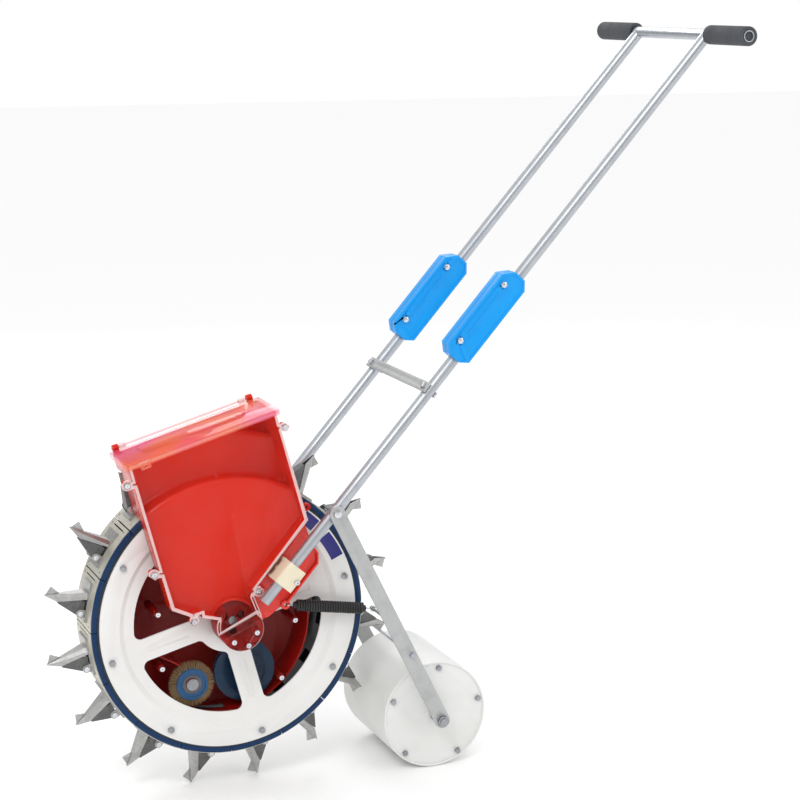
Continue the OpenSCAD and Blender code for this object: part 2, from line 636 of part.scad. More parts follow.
module field(d) {
  x0 = 34 + d; x1 = lid_l - 40 - d; a = cover_y + 26 + d; b = back2 - 26 - d; c = 10;
  polygon([[x0 + c, a], [x1 - c, a], [x1, a + c], [x1, b - c], [x1 - c, b], [x0 + c, b], [x0, b - c], [x0, a + c]]);
}

// ---- brackets and clamps ----------------------------------------------
module bracket_near_shape() {
  polygon([[30, 60], [30, 46], [41.5, 14], [38, 0], [47, -3], [61, 0], [93, 23], [146, 84], [146, 103], [139, 111],
           [126, 150], [122.5, 161.5]]);
}
module handle_bracket_near() {
  y0 = -plate_y - plate_t;
  color([0.8, 0.16, 0.1]) difference() {
    union() {
      at_axis() slab(y0, -plate_y) bracket_near_shape();
      // rim along the rear edge
      at_axis() slab(y0 - 9, y0 + 0.01) polygon([[93, 23], [146, 84], [146, 103], [139, 111], [137, 109], [143, 101], [143, 86], [90.5, 25.5]]);
      // stiffening blocks beside the tube
      on_tube(s_clamp + clamp_l + 8) translate([0, y0 - 13, tr + 3]) cube([26, 13.01, 7]);
      on_tube(s_clamp - 17) translate([0, y0 - 9, tr + 3]) cube([15, 9.01, 6]);
      // lug for the press spring
      translate([spring_a[0] - XO, 0, spring_a[1]]) ycyl(8, spring_y - 2, y0 + 1, 32);
    }
    at_axis() slab(y0 - 14, 0) hop_outline(-0.01, -0.01);
    at_axis() ycyl(outlet_r + seat, y0 - 1, 0);
    translate([spring_a[0] - XO, 0, spring_a[1]]) ycyl(3, -200, 0, 32);
    on_tube(s_clamp + clamp_l / 2) translate([0, 0, -tr - 6]) ycyl(2.5, y0 - 20, 0, 32);
  }
}
module far_bracket() {
  y1 = plate_y + plate_t;
  color([0.7, 0.14, 0.1]) {
    difference() {
      at_axis() union() {
        slab(plate_y, y1) union() {
          circle(r = 30);
          polygon([[-22, 20], [20, 84], [66, 134], [104, 118], [112, 84], [60, 10], [20, -22]]);
        }
        ycyl(14, wheel_y + disc_out + 2, plate_y + 0.01);
      }
      at_axis() ycyl(axle_d / 2, 0, 120);
      on_tube(s_clamp + clamp_l / 2) translate([0, 0, -tr - 6]) ycyl(2.5, 0, 120, 32);
    }
  }
}
module clamp_block() {
  // near side clamp; the bolt hole lies behind the tube
  difference() {
    on_tube(s_clamp) union() {
      translate([0, -clamp_y + 8, -tr - 12]) cube([clamp_l, clamp_y - 8 - plate_y - plate_t, 2 * tr + 17]);
      translate([0, -clamp_y, -tr - 4]) cube([clamp_l, 9, 2 * tr + 1]);
      translate([0, -clamp_y + 8, -tr - 4]) rotate([0, 90, 0]) cylinder(r = 8, h = clamp_l, $fn = 48);
      translate([0, -clamp_y + 8, tr - 3]) rotate([0, 90, 0]) cylinder(r = 8, h = clamp_l, $fn = 48);
    }
    on_tube(s_clamp - 1) translate([0, -ty, 0]) rotate([0, 90, 0]) cylinder(r = tr + seat, h = clamp_l + 2, $fn = 64);
    on_tube(s_clamp + clamp_l / 2) translate([0, 0, -tr - 6]) ycyl(2.5, -clamp_y - 10, 0, 32);
    // moulded pockets in the front side
    for (s = [5, 22]) on_tube(s_clamp + s) translate([0, -plate_y - plate_t - 26, tr + 1]) cube([12, 20, 8]);
  }
}
module tube_clamps() {
  color([0.93, 0.9, 0.8]) { clamp_block(); mirror([0, 1, 0]) clamp_block(); }
}
module clamp_bolts() {
  color([0.6, 0.6, 0.62]) for (m = [0, 1]) mirror([0, m, 0]) on_tube(s_clamp + clamp_l / 2) translate([0, 0, -tr - 6]) {
    ycyl(2.5, -clamp_y - 1, -plate_y + 3, 32);
    difference() { ycyl(4.2, -clamp_y - 3.5, -clamp_y, 32); ycyl(2, -clamp_y - 4.5, -clamp_y - 1, 6); }
    rotate([0, 15, 0]) ycyl(4.5, -plate_y, -plate_y + 3.5, 6);
  }
}

// ---- handle -----------------------------------------------------------
s_split = s_conn + conn_len / 2;
module lower_tube() {
  difference() {
    on_tube(0) translate([0, -ty, 0]) rotate([0, 90, 0]) difference() {
      cylinder(r = tr, h = s_split - 1, $fn = 64);
      translate([0, 0, -1]) cylinder(r = tr - tube_wall, h = s_split + 1, $fn = 64);
    }
    on_tube(s_pivot) ycyl(pivot_d / 2, -ty - 30, -ty + 30, 32);
    on_tube(s_bar) translate([0, -ty, 0]) cylinder(r = 3, h = 60, center = true, $fn = 32);
  }
}
module lower_tube_near() { color([0.8, 0.82, 0.84]) lower_tube(); }
module lower_tube_far() { color([0.8, 0.82, 0.84]) mirror([0, 1, 0]) lower_tube(); }
module crossbar() {
  color([0.72, 0.73, 0.74]) difference() {
    on_tube(s_bar) difference() {
      translate([-bar_flat[0] / 2, -ty - 11, tr]) cube([bar_flat[0], tube_gap + 22, bar_flat[1]]);
      for (m = [-1, 1]) translate([0, m * ty, 0]) cylinder(r = 3, h = 60, $fn = 32);
    }
  }
}
module frame_bolts() {
  color([0.7, 0.71, 0.73]) {
    on_tube(s_bar) for (m = [-1, 1]) translate([0, m * ty, 0]) {
      translate([0, 0, -tr - 5]) cylinder(r = 3, h = 2 * tr + bar_flat[1] + 5, $fn = 32);
      translate([0, 0, tr + bar_flat[1]]) cylinder(r = 5.5, h = 4, $fn = 6);
      translate([0, 0, -tr - 4.5]) cylinder(r = 5.5, h = 4.4, $fn = 6);
    }
    for (m = [-1, 1]) for (s = conn_holes) on_tube(s) translate([0, m * ty, conn_off]) {
      ycyl(3, -conn_t - 4.5, conn_t + 4.5, 32);
      ycyl(5.5, -conn_t - 4, -conn_t, 6);
      ycyl(5.5, conn_t, conn_t + 4, 6);
    }
  }
}
conn_off = tr + 9.5;
conn_holes = [s_conn + 28, s_conn + conn_len - 29];
module conn_shape() {
  a = -tr - 9.5; b = tr + 21.5; L = conn_len;
  polygon([[0, a + 14], [10, a], [L - 14, a], [L, a + 12], [L, b - 16], [L - 16, b], [12, b], [0, b - 14]]);
}
module connector(yc) {
  difference() {
    on_tube(s_conn) translate([0, yc, 0]) {
      slab(-conn_t, -0.4) conn_shape();
      slab(0.4, conn_t) conn_shape();
    }
    on_tube(s_conn - 1) translate([0, yc, 0]) rotate([0, 90, 0]) cylinder(r = tr + seat, h = conn_len + 2, $fn = 64);
    for (s = conn_holes) on_tube(s) translate([0, yc, conn_off]) ycyl(3, -40, 40, 32);
    // long relief pockets outside the bolt line
    for (m = [-1, 1]) on_tube(s_conn + 44) translate([0, yc + m * (conn_t + 9) - 10, tr + 6]) cube([conn_len - 90, 20, 7]);
  }
}
module connector_near() { color([0.25, 0.65, 0.92]) connector(-ty); }
module connector_far() { color([0.25, 0.65, 0.92]) connector(ty); }
module handle_top() {
  color([0.8, 0.82, 0.84]) difference() {
    union() {
      for (m = [-1, 1]) on_tube(s_split + 1) translate([0, m * ty, 0]) rotate([0, 90, 0])
        cylinder(r = tr, h = handle_len - s_split - 1, $fn = 64);
      on_tube(handle_len) ycyl(tr, -bar_len / 2, bar_len / 2);
    }
    on_tube(handle_len) ycyl(tr - tube_wall, -bar_len / 2 - 1, bar_len / 2 + 1);
    for (m = [-1, 1]) on_tube(s_split) translate([0, m * ty, 0]) rotate([0, 90, 0])
      cylinder(r = tr - tube_wall, h = handle_len - s_split - tr, $fn = 64);
  }
}
module grip() {
  on_tube(handle_len) ytube(grip_d / 2, tr, -bar_len / 2, -bar_len / 2 + grip_len);
}
module grip_near() { color([0.28, 0.29, 0.3]) grip(); }
module grip_far() { color([0.28, 0.29, 0.3]) mirror([0, 1, 0]) grip(); }

// ---- press arms and roller --------------------------------------------
module arm_bar() {
  difference() {
    on_arm(0) {
      slab(-arm_y - arm_t, -arm_y) union() {
        translate([0, -arm_w / 2]) square([arm_len, arm_w]);
        circle(r = arm_w / 2);
        translate([arm_len, 0]) circle(r = arm_w / 2);
      }
    }
    on_arm(0) ycyl(pivot_d / 2 + run, -200, 0, 32);
    on_arm(arm_len) ycyl(roller_axle_d / 2, -200, 0, 32);
    on_arm(rod_s) translate([0, 0, rod_off]) ycyl(rod_d / 2, -200, 0, 32);
  }
}
module arm_near() {
  color([0.72, 0.73, 0.74]) {
    arm_bar();
    on_arm(post_s) translate([0, 0, post_off]) {
      ycyl(post_d / 2, -arm_y - 0.01, spring_y + 5, 32);
      ycyl(post_d / 2 + 2, spring_y + 3.5, spring_y + 5, 32);
    }
  }
}
module arm_far() { color([0.72, 0.73, 0.74]) mirror([0, 1, 0]) arm_bar(); }
module arm_pivot_bolts() {
  color([0.75, 0.76, 0.78]) for (m = [0, 1]) mirror([0, m, 0]) on_tube(s_pivot) {
    ycyl(pivot_d / 2, -arm_y - arm_t - 0.3, -ty + tr + 6, 32);
    ycyl(pivot_d * 0.8, -arm_y - arm_t - 4.3, -arm_y - arm_t - 0.3, 32);
    ycyl(pivot_d * 0.85, -ty + tr, -ty + tr + 5, 6);
  }
}
module arm_cross_rod() {
  color([0.78, 0.8, 0.83]) on_arm(rod_s) translate([0, 0, rod_off]) {
    ycyl(rod_d / 2, -arm_y - arm_t - 4, arm_y + arm_t + 4, 32);
    for (m = [0, 1]) mirror([0, m, 0]) {
      ycyl(5, arm_y + arm_t, arm_y + arm_t + 3.5, 6);
      ycyl(5, arm_y - 4, arm_y, 6);
    }
  }
}
rl = roller_len / 2;
module roller_axle() {
  color([0.7, 0.71, 0.73]) on_arm(arm_len) {
    ycyl(roller_axle_d / 2, -arm_y - arm_t - 8, arm_y + arm_t + 8, 32);
    for (m = [0, 1]) mirror([0, m, 0]) {
      ycyl(roller_axle_d / 2 + 3, rl + 4, arm_y, 32);
      ycyl(roller_axle_d / 2 + 4, arm_y + arm_t, arm_y + arm_t + 6, 6);
    }
  }
}
cap_t = 4;
module at_roll() { translate([roll[0] - XO, 0, roll[1]]) children(); }
module roller_drum() {
  color([0.9, 0.9, 0.88]) at_roll() ytube(roller_r, roller_r - 4, -rl, rl);
}
roller_bolt_r = roller_r - 10.5;
module roller_caps() {
  color([0.88, 0.88, 0.87]) at_roll() for (m = [0, 1]) mirror([0, m, 0]) difference() {
    union() {
      ycyl(roller_r - 4, rl - cap_t - 1.5, rl - 1.5, 128);
      ycyl(18, rl - 20, rl + 3);
    }
    ycyl(roller_axle_d / 2 + run, 0, 200, 64);
    for (k = [0:4]) spoke(85 + 72 * k) translate([roller_bolt_r, 0, 0]) ycyl(3, 0, 200, 32);
  }
}
module roller_bolts() {
  color([0.75, 0.75, 0.78]) at_roll() for (k = [0:4]) spoke(85 + 72 * k) translate([roller_bolt_r, 0, 0]) {
    ycyl(3, -rl - 1, rl + 1, 32);
    for (m = [0, 1]) mirror([0, m, 0]) ycyl(5, rl - 1.5, rl + 2.5, 6);
  }
}
// the sleeved tension spring from the bracket lug to the post on the near arm
post = [pivot[0] + post_s * cos(arm_a) - post_off * sin(arm_a), pivot[1] + post_s * sin(arm_a) + post_off * cos(arm_a)];
spr_v = post - spring_a;
spr_l = norm(spr_v);
spr_a = atan2(spr_v[1], spr_v[0]);
module press_spring() {
  color([0.13, 0.13, 0.14]) translate([spring_a[0] - XO, spring_y, spring_a[1]]) rotate([0, -spr_a, 0]) {
    translate([18, 0, 0]) rotate([0, 90, 0]) cylinder(r = spring_d / 2, h = spr_l - 36, $fn = 48);
    // hook through the bracket's lug, and eye round the arm's post
    translate([1.7, -4.2, 0]) rotate([0, 90, 0]) cylinder(r = 1.25, h = 20, $fn = 24);
    translate([1.7, 0, 0]) ycyl(1.25, -5.45, 6, 24);
    translate([spr_l - 20, 0, 0]) rotate([0, 90, 0]) cylinder(r = 1.25, h = 20 - post_d / 2 - 1, $fn = 24);
    translate([spr_l, 0, 0]) ytube(post_d / 2 + 2.5, post_d / 2 + run, -1.25, 1.25);
  }
}

hopper_shell();
hopper_cover();
cover_screws();
hub_neck();
main_axle();
metering_housing();
metering_cover();
handle_bracket_near();
far_bracket();
tube_clamps();
clamp_bolts();
lower_tube_near();
lower_tube_far();
crossbar();
frame_bolts();
connector_near();
connector_far();
handle_top();
grip_near();
grip_far();
lid_hinge_pin();
arm_pivot_bolts();
lid();
disc_near();
disc_far();
rim_core();
rim_rings();
tread_plates();
bill_shells();
bill_springs();
jaw_bolts();
disc_bolts();
ring_gear();
metering_wheel();
metering_shaft();
brush_wheel();
arm_near();
arm_far();
arm_cross_rod();
roller_axle();
roller_drum();
roller_caps();
roller_bolts();
press_spring();
jaw_at(1);  // jaw_01
jaw_at(2);  // jaw_02
jaw_at(3);  // jaw_03
jaw_at(4);  // jaw_04
jaw_at(5);  // jaw_05
jaw_at(6);  // jaw_06
jaw_at(7);  // jaw_07
jaw_at(8);  // jaw_08
jaw_at(9);  // jaw_09
jaw_at(10);  // jaw_10
jaw_at(11);  // jaw_11
jaw_at(12);  // jaw_12
jaw_at(13);  // jaw_13
jaw_at(14);  // jaw_14
jaw_at(15);  // jaw_15
jaw_at(16);  // jaw_16
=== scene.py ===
# %% [markdown]
# # A rolling garden spreader
# A toothed drum wheel is pushed over a seed bed. A hopper on its near side feeds a metering
# wheel inside the drum, and sixteen steel bills open in the soil and let the seed fall. A press
# roller follows and closes the row. The mechanism comes from the CAD frame, which is loaded
# first. Blender adds the finishes and the soft, rounded or wound parts that CAD leaves plain.

# %% Load the frame, and a helper that measures a part's box
import json
import math
import random
import bmesh
import bpy
from mathutils import Matrix, Vector


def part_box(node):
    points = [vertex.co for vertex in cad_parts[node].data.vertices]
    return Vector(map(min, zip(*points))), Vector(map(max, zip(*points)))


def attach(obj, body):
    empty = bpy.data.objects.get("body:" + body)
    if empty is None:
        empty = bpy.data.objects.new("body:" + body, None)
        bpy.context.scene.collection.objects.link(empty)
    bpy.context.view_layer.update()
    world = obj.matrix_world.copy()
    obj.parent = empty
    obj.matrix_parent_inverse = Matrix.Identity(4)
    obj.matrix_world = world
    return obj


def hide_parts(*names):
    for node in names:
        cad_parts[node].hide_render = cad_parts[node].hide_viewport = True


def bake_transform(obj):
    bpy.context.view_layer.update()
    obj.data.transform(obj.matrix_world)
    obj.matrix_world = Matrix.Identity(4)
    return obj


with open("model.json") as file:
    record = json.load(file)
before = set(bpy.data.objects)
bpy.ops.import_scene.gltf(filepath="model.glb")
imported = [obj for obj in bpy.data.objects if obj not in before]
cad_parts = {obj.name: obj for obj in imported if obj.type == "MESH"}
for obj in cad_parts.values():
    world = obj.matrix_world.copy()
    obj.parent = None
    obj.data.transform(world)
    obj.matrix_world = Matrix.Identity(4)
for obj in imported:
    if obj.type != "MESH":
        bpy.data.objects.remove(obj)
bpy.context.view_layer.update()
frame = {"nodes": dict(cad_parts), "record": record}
nodes = frame["nodes"]
joints = {j["name"]: j for j in frame["record"]["behaviour"]["joints"]}
MM = 0.001

# %% [markdown]
# ## Camera, floor and light
# The whole machine stands on a plain pale floor. Its picture is taken with a long lens from the
# hopper's side, a little above the hopper and from the front. A long lens keeps the wheel round.
# Three large soft lamps are used, as in a product studio: one key, one fill and one from behind
# for the bright edges on the plastic.

# %% Camera
WHEEL_TO_CAMERA = Vector((-0.9509, -3.1415, 1.011))
CAMERA_DIP = 11.34
CAMERA_TURN = -22.05

wheel_at = Vector(joints["wheel_spin"]["pos_m"])
cam_data = bpy.data.cameras.new("camera")
cam_data.lens = 92.11
cam_data.sensor_width = 36.0
cam_data.clip_end = 50
camera = bpy.data.objects.new("camera", cam_data)
camera.location = wheel_at + WHEEL_TO_CAMERA
camera.rotation_euler = (math.radians(90 - CAMERA_DIP), 0, math.radians(CAMERA_TURN))
bpy.context.scene.collection.objects.link(camera)
bpy.context.scene.camera = camera
print("camera stands", round((camera.location - wheel_at).length, 2), "m from the wheel")


# %% Floor and lamps
def deselect():
    """Nothing stays selected, so the next operator acts on the new piece alone."""
    bpy.ops.object.select_all(action="DESELECT")


def plain_shader(mat):
    mat.use_nodes = True
    return mat.node_tree.nodes["Principled BSDF"]


deselect()
bpy.ops.mesh.primitive_plane_add(size=40, location=(0, 0, -0.0005))
floor = bpy.context.object
floor.name = "floor"
floor_mat = bpy.data.materials.new("studio floor")
shader = plain_shader(floor_mat)
shader.inputs["Base Color"].default_value = (0.97, 0.97, 0.97, 1)
shader.inputs["Roughness"].default_value = 0.9
shader.inputs["Specular IOR Level"].default_value = 0.1
floor.data.materials.append(floor_mat)

world = bpy.data.worlds.new("studio")
bpy.context.scene.world = world
world.use_nodes = True
sky = world.node_tree
backdrop = sky.nodes["Background"]
backdrop.inputs["Color"].default_value = (1, 1, 1, 1)
backdrop.inputs["Strength"].default_value = 1.0
room = sky.nodes.new("ShaderNodeBackground")
room.inputs["Strength"].default_value = 1.02
height = sky.nodes.new("ShaderNodeSeparateXYZ")
sky.links.new(sky.nodes.new("ShaderNodeTexCoord").outputs["Generated"], height.inputs[0])
grade = sky.nodes.new("ShaderNodeValToRGB")
grade.color_ramp.elements[0].position = 0.0
grade.color_ramp.elements[0].color = (0.1, 0.1, 0.11, 1)
grade.color_ramp.elements[1].position = 0.3
grade.color_ramp.elements[1].color = (1, 1, 1, 1)
sky.links.new(height.outputs["Z"], grade.inputs[0])
sky.links.new(grade.outputs[0], room.inputs["Color"])
seen = sky.nodes.new("ShaderNodeLightPath")
choose = sky.nodes.new("ShaderNodeMixShader")
sky.links.new(seen.outputs["Is Camera Ray"], choose.inputs[0])
sky.links.new(room.outputs[0], choose.inputs[1])
sky.links.new(backdrop.outputs[0], choose.inputs[2])
sky.links.new(choose.outputs[0], sky.nodes["World Output"].inputs["Surface"])
bpy.context.scene.view_settings.view_transform = "Standard"


def lamp(name, place, aim, size, watts):
    """A square soft lamp that points at aim."""
    data = bpy.data.lights.new(name, "AREA")
    data.size = size
    data.energy = watts
    obj = bpy.data.objects.new(name, data)
    obj.location = place
    obj.rotation_euler = (Vector(aim) - Vector(place)).to_track_quat("-Z", "Y").to_euler()
    bpy.context.scene.collection.objects.link(obj)


lamp("key", (-2.0, -2.4, 3.2), (0, 0, 0.4), 1.3, 44)
lamp("fill", (2.6, -2.6, 1.4), (0, 0, 0.5), 1.6, 12)
lamp("back", (0.6, 2.8, 2.6), (0, 0, 0.5), 1.4, 26)

# %% [markdown]
# ## Shared effects
# Moulded plastic has a fine grain, slow changes of tone and a little dust. Galvanised sheet has
# spangles and darker stains. Each effect is built once as a node group, and every material
# sets its own amounts. The patterns use Object coordinates, so they stay put on each piece.


# %% Node group helpers
def new_group(name, inputs, outputs):
    """A shader node group with named value and colour sockets, and its two end nodes."""
    group = bpy.data.node_groups.new(name, "ShaderNodeTree")
    for label, kind, value in inputs:
        socket = group.interface.new_socket(label, in_out="INPUT", socket_type="NodeSocket" + kind)
        if value is not None:
            socket.default_value = value
    for label, kind in outputs:
        group.interface.new_socket(label, in_out="OUTPUT", socket_type="NodeSocket" + kind)
    return group, group.nodes.new("NodeGroupInput"), group.nodes.new("NodeGroupOutput")


def math_node(tree, operation, a, b):
    node = tree.nodes.new("ShaderNodeMath")
    node.operation = operation
    for socket, value in zip(node.inputs, (a, b)):
        if isinstance(value, (int, float)):
            socket.default_value = value
        else:
            tree.links.new(value, socket)
    return node.outputs[0]


def mix_colour(tree, factor, a, b, blend="MIX"):
    node = tree.nodes.new("ShaderNodeMix")
    node.data_type = "RGBA"
    node.blend_type = blend
    for socket, value in ((node.inputs[0], factor), (node.inputs[6], a), (node.inputs[7], b)):
        if isinstance(value, (int, float)):
            socket.default_value = value
        elif isinstance(value, tuple):
            socket.default_value = value
        else:
            tree.links.new(value, socket)
    return node.outputs[2]


def noise(tree, vector, scale, detail=3.0, rough=0.5):
    node = tree.nodes.new("ShaderNodeTexNoise")
    node.inputs["Scale"].default_value = scale if isinstance(scale, (int, float)) else 1
    if not isinstance(scale, (int, float)):
        tree.links.new(scale, node.inputs["Scale"])
    node.inputs["Detail"].default_value = detail
    node.inputs["Roughness"].default_value = rough
    tree.links.new(vector, node.inputs["Vector"])
    return node.outputs["Fac"]


def band(tree, value, low, high, to_low=0.0, to_high=1.0):
    """Stretches the part of a value between low and high."""
    node = tree.nodes.new("ShaderNodeMapRange")
    node.inputs["From Min"].default_value = low
    node.inputs["From Max"].default_value = high
    node.inputs["To Min"].default_value = to_low
    node.inputs["To Max"].default_value = to_high
    tree.links.new(value, node.inputs["Value"])
    return node.outputs["Result"]


def bump(tree, height, strength, distance):
    node = tree.nodes.new("ShaderNodeBump")
    node.inputs["Distance"].default_value = distance
    if isinstance(strength, (int, float)):
        node.inputs["Strength"].default_value = strength
    else:
        tree.links.new(strength, node.inputs["Strength"])
    tree.links.new(height, node.inputs["Height"])
    return node.outputs["Normal"]


# %% Moulded plastic effect
moulded, g_in, g_out = new_group(
    "moulded surface",
    [("Colour", "Color", (0.8, 0.8, 0.8, 1)), ("Shade", "Color", (0.6, 0.6, 0.6, 1)),
     ("Roughness", "Float", 0.4), ("Tone", "Float", 0.3), ("Grain", "Float", 0.15)],
    [("Colour", "Color"), ("Roughness", "Float"), ("Normal", "Vector")])
where = moulded.nodes.new("ShaderNodeTexCoord").outputs["Object"]
slow = band(moulded, noise(moulded, where, 9, 3), 0.35, 0.7)
flow = band(moulded, noise(moulded, where, 42, 4, 0.6), 0.45, 0.75)
fine = noise(moulded, where, 1500, 2)
dust = band(moulded, noise(moulded, where, 420, 4, 0.7), 0.62, 0.8)
uneven = math_node(moulded, "ADD", slow, math_node(moulded, "MULTIPLY", flow, 0.4))
tone = math_node(moulded, "MULTIPLY", g_in.outputs["Tone"], uneven)
body = mix_colour(moulded, tone, g_in.outputs["Colour"], g_in.outputs["Shade"])
thin_dust = math_node(moulded, "MULTIPLY", dust, 0.12)
dusty = mix_colour(moulded, thin_dust, body, (0.8, 0.77, 0.72, 1))
moulded.links.new(dusty, g_out.inputs["Colour"])
streaks = math_node(moulded, "MULTIPLY", math_node(moulded, "SUBTRACT", flow, 0.4), 0.12)
rough = math_node(moulded, "ADD", g_in.outputs["Roughness"], streaks)
moulded.links.new(rough, g_out.inputs["Roughness"])
waves = math_node(moulded, "ADD", fine, math_node(moulded, "MULTIPLY", slow, 2))
moulded.links.new(bump(moulded, waves, g_in.outputs["Grain"], 0.0006), g_out.inputs["Normal"])

# %% Galvanised sheet effect
sheet_metal, g_in, g_out = new_group(
    "zinc sheet",
    [("Light", "Color", (0.75, 0.75, 0.74, 1)), ("Dark", "Color", (0.5, 0.5, 0.5, 1)),
     ("Spangle", "Float", 0.5), ("Roughness", "Float", 0.42), ("Grain", "Float", 0.12)],
    [("Colour", "Color"), ("Roughness", "Float"), ("Normal", "Vector")])
where = sheet_metal.nodes.new("ShaderNodeTexCoord").outputs["Object"]
cells = sheet_metal.nodes.new("ShaderNodeTexVoronoi")
cells.inputs["Scale"].default_value = 190
sheet_metal.links.new(where, cells.inputs["Vector"])
split = sheet_metal.nodes.new("ShaderNodeSeparateColor")
sheet_metal.links.new(cells.outputs["Color"], split.inputs["Color"])
spangle = math_node(sheet_metal, "MULTIPLY", split.outputs[0], g_in.outputs["Spangle"])
stain = band(sheet_metal, noise(sheet_metal, where, 38, 5, 0.65), 0.42, 0.72)
mark = math_node(sheet_metal, "MAXIMUM", spangle, math_node(sheet_metal, "MULTIPLY", stain, 0.55))
marked = mix_colour(sheet_metal, mark, g_in.outputs["Light"], g_in.outputs["Dark"])
sheet_metal.links.new(marked, g_out.inputs["Colour"])
duller = math_node(sheet_metal, "MULTIPLY", mark, 0.16)
rough = math_node(sheet_metal, "ADD", g_in.outputs["Roughness"], duller)
sheet_metal.links.new(rough, g_out.inputs["Roughness"])
pits = bump(sheet_metal, noise(sheet_metal, where, 700, 3), g_in.outputs["Grain"], 0.0004)
sheet_metal.links.new(pits, g_out.inputs["Normal"])


# %% [markdown]
# ## Finishes
# Each finish is a Principled shader fed by one of the two effects. The clear plastics are thin
# and tinted, so they let the red shell and the bills behind them show.


# %% Material makers
def finish(name, group, settings, metallic=0.0, **sockets):
    """A material whose colour, roughness and normal come from a shared effect."""
    mat = bpy.data.materials.new(name)
    shader = plain_shader(mat)
    node = mat.node_tree.nodes.new("ShaderNodeGroup")
    node.node_tree = group
    for label, value in settings.items():
        node.inputs[label].default_value = value
    for out, socket in (("Colour", "Base Color"), ("Roughness", "Roughness"), ("Normal", "Normal")):
        mat.node_tree.links.new(node.outputs[out], shader.inputs[socket])
    shader.inputs["Metallic"].default_value = metallic
    for label, value in sockets.items():
        shader.inputs[label.replace("_", " ")].default_value = value
    return mat


def rgb(r, g, b):
    """Screen colour, 0 to 255, as the linear colour that a shader takes."""
    channels = (c / 255 for c in (r, g, b))
    return tuple(((c + 0.055) / 1.055) ** 2.4 if c > 10 / 255 else c / 12.92 for c in channels) + (1.0,)


def plastic(name, colour, shade, roughness=0.38, tone=0.35, grain=0.12, **sockets):
    settings = {
        "Colour": rgb(*colour), "Shade": rgb(*shade), "Roughness": roughness, "Tone": tone, "Grain": grain}
    return finish(name, moulded, settings, **sockets)


def metal(name, light, dark, spangle=0.4, roughness=0.42, metallic=0.85, grain=0.1):
    settings = {
        "Light": rgb(*light), "Dark": rgb(*dark), "Spangle": spangle, "Roughness": roughness, "Grain": grain}
    return finish(name, sheet_metal, settings, metallic)


red = plastic(
    "red moulding", (206, 34, 10), (184, 22, 6), 0.24, 0.2, 0.03, Coat_Weight=0.12, Specular_IOR_Level=0.22)
dark_red = plastic("dark red moulding", (150, 20, 14), (96, 10, 9), 0.42, Specular_IOR_Level=0.25)
red_paint = plastic("red enamel", (232, 40, 18), (204, 26, 12), 0.3, Coat_Weight=0.2)
white = plastic("white moulding", (226, 226, 224), (214, 212, 208), 0.36, 0.3, 0.05)
roller_white = plastic("roller moulding", (224, 225, 223), (208, 207, 202), 0.42, 0.4, 0.06)
ivory = plastic("ivory moulding", (226, 216, 190), (204, 192, 164), 0.42)
blue = plastic("sky blue moulding", (14, 154, 232), (6, 126, 208), 0.36, 0.3, 0.05, Specular_IOR_Level=0.25)
navy = plastic("navy moulding", (10, 50, 92), (6, 30, 62), 0.36, Specular_IOR_Level=0.25)
black = plastic("black moulding", (34, 38, 44), (20, 22, 26), 0.4)
teal = plastic("teal moulding", (8, 48, 74), (5, 30, 48), 0.34, Specular_IOR_Level=0.25)
foam = plastic("grip foam", (74, 77, 82), (52, 54, 58), 0.85, 0.5, 0.8)
sleeve = plastic("black sleeve", (38, 38, 40), (22, 22, 24), 0.5, 0.5, 0.4)
bristle = plastic("tan bristle", (158, 132, 92), (112, 88, 56), 0.6, 0.8, 0.5)
brush_blue = plastic("steel blue moulding", (40, 88, 132), (28, 64, 100), 0.4, Specular_IOR_Level=0.25)
patch_blue = plastic("navy label film", (46, 46, 128), (34, 34, 100), 0.35)
zinc = metal("galvanised sheet", (184, 184, 182), (136, 136, 134), 0.4, 0.36, 0.95)
# The jaws' sheet is the shells' galvanised sheet painted darker: painted shade for the jaws' cheeks, which
# sit in the shade between the shells' flanges. Unlisted parts and the brush's boss take it too.
dark_zinc_painted_shade = metal("galvanised jaw painted shade", (112, 112, 112), (72, 72, 72), 0.4, 0.4, 0.95)
tread_zinc = metal("tread sheet", (206, 203, 190), (166, 163, 152), 0.3, 0.44, 0.7)
flat_zinc = metal("flat bar", (184, 185, 185), (160, 161, 161), 0.15, 0.46, 0.75, 0.04)
satin = metal("satin tube", (180, 184, 189), (164, 168, 174), 0.08, 0.36, 0.95, 0.0)
bright = metal("plated fixing", (216, 218, 222), (160, 162, 166), 0.15, 0.22, 1.0, 0.03)
turned = metal("turned steel", (164, 166, 170), (108, 110, 114), 0.2, 0.3, 1.0, 0.04)


def clear(name, colour, roughness=0.06, alpha=0.3, rim=0.7, second=None, coat=0.5):
    """Thin tinted clear plastic. It is see-through by alpha, so that the pieces behind stay sharp."""
    mat = bpy.data.materials.new(name)
    shader = plain_shader(mat)
    tree = mat.node_tree
    where = tree.nodes.new("ShaderNodeTexCoord").outputs["Object"]
    smear = band(tree, noise(tree, where, 30, 4, 0.6), 0.45, 0.8)
    tint = band(tree, noise(tree, where, 11, 2, 0.5), 0.38, 0.62)
    tinted = mix_colour(tree, tint, rgb(*colour), rgb(*(second or colour)))
    tree.links.new(tinted, shader.inputs["Base Color"])
    rough = math_node(tree, "ADD", math_node(tree, "MULTIPLY", smear, 0.08), roughness)
    tree.links.new(rough, shader.inputs["Roughness"])
    # Towards the rims the plastic is more opaque, so its tint shows more there; on the pale covers this is a
    # painted sheen along the edges.
    facing = tree.nodes.new("ShaderNodeLayerWeight")
    facing.inputs["Blend"].default_value = 0.25
    edge = band(tree, facing.outputs["Facing"], 0.35, 0.98, alpha, rim)
    solid = math_node(tree, "ADD", edge, math_node(tree, "MULTIPLY", smear, 0.012))
    tree.links.new(solid, shader.inputs["Alpha"])
    shader.inputs["Coat Weight"].default_value = coat
    return mat


